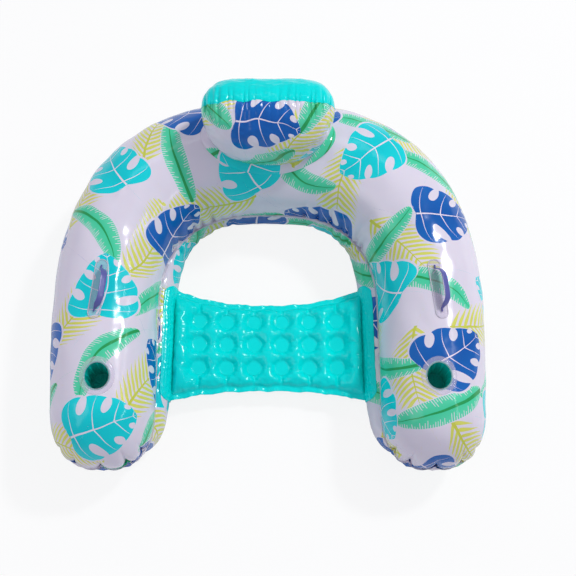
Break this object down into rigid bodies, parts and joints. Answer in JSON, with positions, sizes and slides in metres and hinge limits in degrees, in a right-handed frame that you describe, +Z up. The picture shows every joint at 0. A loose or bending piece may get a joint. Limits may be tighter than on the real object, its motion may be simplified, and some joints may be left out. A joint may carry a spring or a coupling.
{
  "type": "inflatable pool chair",
  "caption": "Inflatable pool chair: a horseshoe of stacked air chambers with a slung welded seat, a pillow headrest, cup wells in the arms, grab straps and push-in air valves.",
  "frame": {"origin": "on the ground under the middle of the whole chair's box", "axes": "+X to the viewer's right across the two arms, +Y from the open front to the headrest, +Z up"},
  "size_m": [1.0198, 0.9301, 0.4375],
  "materials": {
    "printed": "glossy soft PVC film, white with a printed pattern of tropical leaves",
    "web": "clear to milky soft PVC film, unprinted",
    "turquoise": "glossy soft PVC film, plain turquoise",
    "clear": "clear moulded or cut soft PVC, glossy",
    "plug": "translucent moulded soft PVC, satin"
  },
  "bodies": {
    "chair": {"upper_chamber": "printed", "lower_chamber": "printed", "chamber_web": "web", "seat_mattress": "turquoise", "seat_end_panel_left": "turquoise", "seat_end_panel_right": "turquoise", "headrest_front": "printed", "headrest_back": "turquoise", "headrest_base": "printed", "cup_well_left": "turquoise", "cup_well_right": "turquoise", "cup_rim_left": "clear", "cup_rim_right": "clear", "handle_pad_left": "clear", "handle_pad_right": "clear", "upper_valve_flange": "clear", "lower_valve_flange": "clear", "headrest_valve_flange": "clear", "seat_valve_flange": "clear"},
    "left_strap": {"handle_strap_left": "clear"},
    "right_strap": {"handle_strap_right": "clear"},
    "upper_stem": {"upper_valve_stem": "clear"},
    "upper_plug": {"upper_valve_plug": "plug"},
    "upper_flap": {"upper_valve_flap": "clear"},
    "lower_stem": {"lower_valve_stem": "clear"},
    "lower_plug": {"lower_valve_plug": "plug"},
    "lower_flap": {"lower_valve_flap": "clear"},
    "headrest_stem": {"headrest_valve_stem": "clear"},
    "headrest_plug": {"headrest_valve_plug": "plug"},
    "headrest_flap": {"headrest_valve_flap": "clear"},
    "seat_stem": {"seat_valve_stem": "clear"},
    "seat_plug": {"seat_valve_plug": "plug"},
    "seat_flap": {"seat_valve_flap": "clear"}
  },
  "joints": [
    {"name": "left_strap_lean", "type": "hinge", "parent": "chair", "child": "left_strap", "pos_m": [-0.38613, -0.07996, 0.2735], "axis": [0.1045, 0.9945, 0], "range_deg": [-90, 26]},
    {"name": "right_strap_lean", "type": "hinge", "parent": "chair", "child": "right_strap", "pos_m": [0.38613, -0.07996, 0.2735], "axis": [-0.1045, 0.9945, 0], "range_deg": [-90, 26]},
    {"name": "upper_valve_push", "type": "slide", "parent": "chair", "child": "upper_stem", "axis": [-0.1271, 0.9047, 0.4067], "range_m": [-0.007, 0]},
    {"name": "upper_plug_open", "type": "hinge", "parent": "upper_stem", "child": "upper_plug", "pos_m": [-0.09023, 0.45721, 0.1883], "axis": [0.0566, -0.4028, 0.9135], "range_deg": [0, 150]},
    {"name": "upper_flap_open", "type": "hinge", "parent": "upper_stem", "child": "upper_flap", "pos_m": [-0.08181, 0.43754, 0.17911], "axis": [-0.0566, 0.4028, -0.9135], "range_deg": [0, 65]},
    {"name": "lower_valve_push", "type": "slide", "parent": "chair", "child": "lower_stem", "axis": [0.4384, 0.8988, 0], "range_m": [-0.007, 0]},
    {"name": "lower_plug_open", "type": "hinge", "parent": "lower_stem", "child": "lower_plug", "pos_m": [0.25002, 0.43953, 0.055], "axis": [0, 0, 1], "range_deg": [0, 150]},
    {"name": "lower_flap_open", "type": "hinge", "parent": "lower_stem", "child": "lower_flap", "pos_m": [0.24514, 0.41676, 0.055], "axis": [0, 0, -1], "range_deg": [0, 65]},
    {"name": "headrest_valve_push", "type": "slide", "parent": "chair", "child": "headrest_stem", "axis": [0, 1, 0], "range_m": [-0.007, 0]},
    {"name": "headrest_plug_open", "type": "hinge", "parent": "headrest_stem", "child": "headrest_plug", "pos_m": [0.0718, 0.41867, 0.3104], "axis": [0, 0, -1], "range_deg": [0, 150]},
    {"name": "headrest_flap_open", "type": "hinge", "parent": "headrest_stem", "child": "headrest_flap", "pos_m": [0.0662, 0.39607, 0.3104], "axis": [0, 0, 1], "range_deg": [0, 65]},
    {"name": "seat_valve_push", "type": "slide", "parent": "chair", "child": "seat_stem", "axis": [0, 0, -1], "range_m": [-0.007, 0]},
    {"name": "seat_plug_open", "type": "hinge", "parent": "seat_stem", "child": "seat_plug", "pos_m": [-0.12232, -0.18246, 0.0184], "axis": [0, -1, 0], "range_deg": [0, 150]},
    {"name": "seat_flap_open", "type": "hinge", "parent": "seat_stem", "child": "seat_flap", "pos_m": [-0.12792, -0.18246, 0.041], "axis": [0, 1, 0], "range_deg": [0, 65]}
  ]
}
